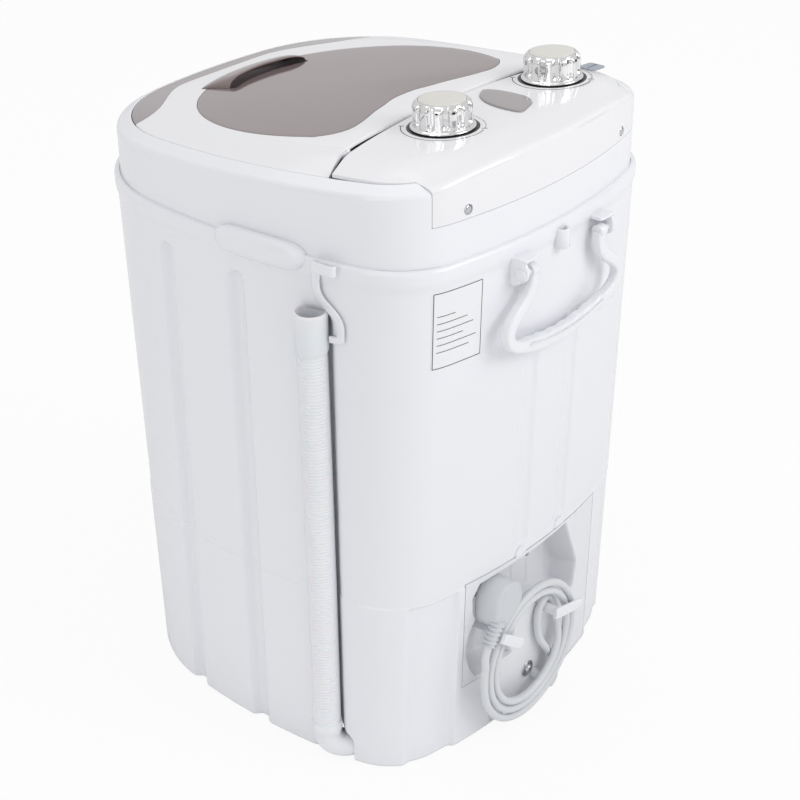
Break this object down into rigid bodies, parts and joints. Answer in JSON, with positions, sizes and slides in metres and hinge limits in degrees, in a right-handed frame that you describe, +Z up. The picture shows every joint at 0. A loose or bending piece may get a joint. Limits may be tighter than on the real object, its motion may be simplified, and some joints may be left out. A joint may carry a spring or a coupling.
{
  "type": "portable washing machine",
  "caption": "Portable top-loading washing machine with a smoke window lid, timer knobs on a rear console, drain hose, carry handle and a cord wound on the rear cover.",
  "frame": {"origin": "point on the floor, where the rubber feet stand, under the middle of the overall box without the cord", "axes": "+Z up, -Y to the front where the lid lifts, +Y to the rear with the handle and cord, +X to the drain hose side"},
  "size_m": [0.3856, 0.4196, 0.5847],
  "materials": {
    "white_plastic": "glossy white moulded plastic",
    "cover_plastic": "glossy white moulded plastic",
    "smoke_plastic": "smoke brown transparent plastic",
    "steel": "plated steel",
    "black_trim": "black rubber or soft plastic",
    "chrome_trim": "chrome plated plastic",
    "ivory_plastic": "ivory gloss",
    "dark_plastic": "dark moulded plastic",
    "smoke_insert": "smoke grey gloss insert",
    "blue_grey_plastic": "blue grey gloss insert",
    "hose_plastic": "white flexible plastic",
    "cord_grey": "light grey flexible plastic",
    "tub_plastic": "white polypropylene",
    "pulsator_plastic": "pale blue plastic",
    "cast_metal": "cast aluminium",
    "belt_rubber": "belt rubber",
    "motor_metal": "painted steel",
    "capacitor_can": "aluminium can"
  },
  "bodies": {
    "machine": {"outer_casing": "white_plastic", "top_ring": "white_plastic", "control_console": "white_plastic", "console_screws": "steel", "dial_rings": "black_trim", "wash_timer": "dark_plastic", "spin_timer": "dark_plastic", "leaf_insert": "smoke_insert", "inlet_insert": "blue_grey_plastic", "drain_hose": "hose_plastic", "hose_cuff": "hose_plastic", "hose_clip": "white_plastic", "hose_elbow": "hose_plastic", "drain_pipe": "hose_plastic", "service_cover": "cover_plastic", "cover_screw": "steel", "cover_washer": "steel", "cord_gland": "cord_grey", "power_cord": "cord_grey", "plug_body": "cord_grey", "plug_pins": "steel", "wash_tub": "tub_plastic", "drive_housing": "cast_metal", "shaft_seal": "black_trim", "shaft_bearings": "steel", "drive_belt": "belt_rubber", "motor": "motor_metal", "motor_bracket": "motor_metal", "run_capacitor": "capacitor_can", "base_plate": "tub_plastic", "rubber_feet": "black_trim"},
    "lid": {"lid_frame": "white_plastic", "lid_window": "smoke_plastic", "lid_front_trim": "smoke_plastic", "lid_hinge_pins": "steel"},
    "wash_dial": {"wash_knob": "chrome_trim", "wash_knob_cap": "ivory_plastic", "wash_timer_shaft": "steel"},
    "spin_dial": {"spin_knob": "chrome_trim", "spin_knob_cap": "ivory_plastic", "spin_timer_shaft": "steel"},
    "handle": {"carry_handle": "white_plastic"},
    "agitator": {"pulsator": "pulsator_plastic", "spin_basket": "tub_plastic", "drive_shaft": "steel", "drive_pulley": "cast_metal"},
    "motor_rotor": {"motor_pulley": "dark_plastic"}
  },
  "joints": [
    {"name": "lid_hinge", "type": "hinge", "parent": "machine", "child": "lid", "pos_m": [-0.005, 0.0864, 0.557], "axis": [-1, 0, 0], "range_deg": [0, 80]},
    {"name": "wash_timer_turn", "type": "hinge", "parent": "machine", "child": "wash_dial", "pos_m": [0.042, 0.1144, 0.56003], "axis": [0, 0.0519, -0.9987], "range_deg": [0, 300]},
    {"name": "spin_timer_turn", "type": "hinge", "parent": "machine", "child": "spin_dial", "pos_m": [-0.106, 0.1144, 0.56003], "axis": [0, 0.0519, -0.9987], "range_deg": [0, 300]},
    {"name": "handle_swing", "type": "hinge", "parent": "machine", "child": "handle", "pos_m": [-0.005, 0.2034, 0.463], "axis": [1, 0, 0], "range_deg": [0, 115]},
    {"name": "agitator_spin", "type": "hinge", "parent": "machine", "child": "agitator", "pos_m": [-0.005, -0.0206, 0.17], "axis": [0, 0, 1], "continuous": true},
    {"name": "motor_spin", "type": "hinge", "parent": "machine", "child": "motor_rotor", "pos_m": [-0.1, 0.0694, 0.08], "axis": [0, 0, 1], "continuous": true}
  ],
  "couplings": [
    {"joint": "motor_spin", "follows": "agitator_spin", "ratio": 4.5946}
  ]
}
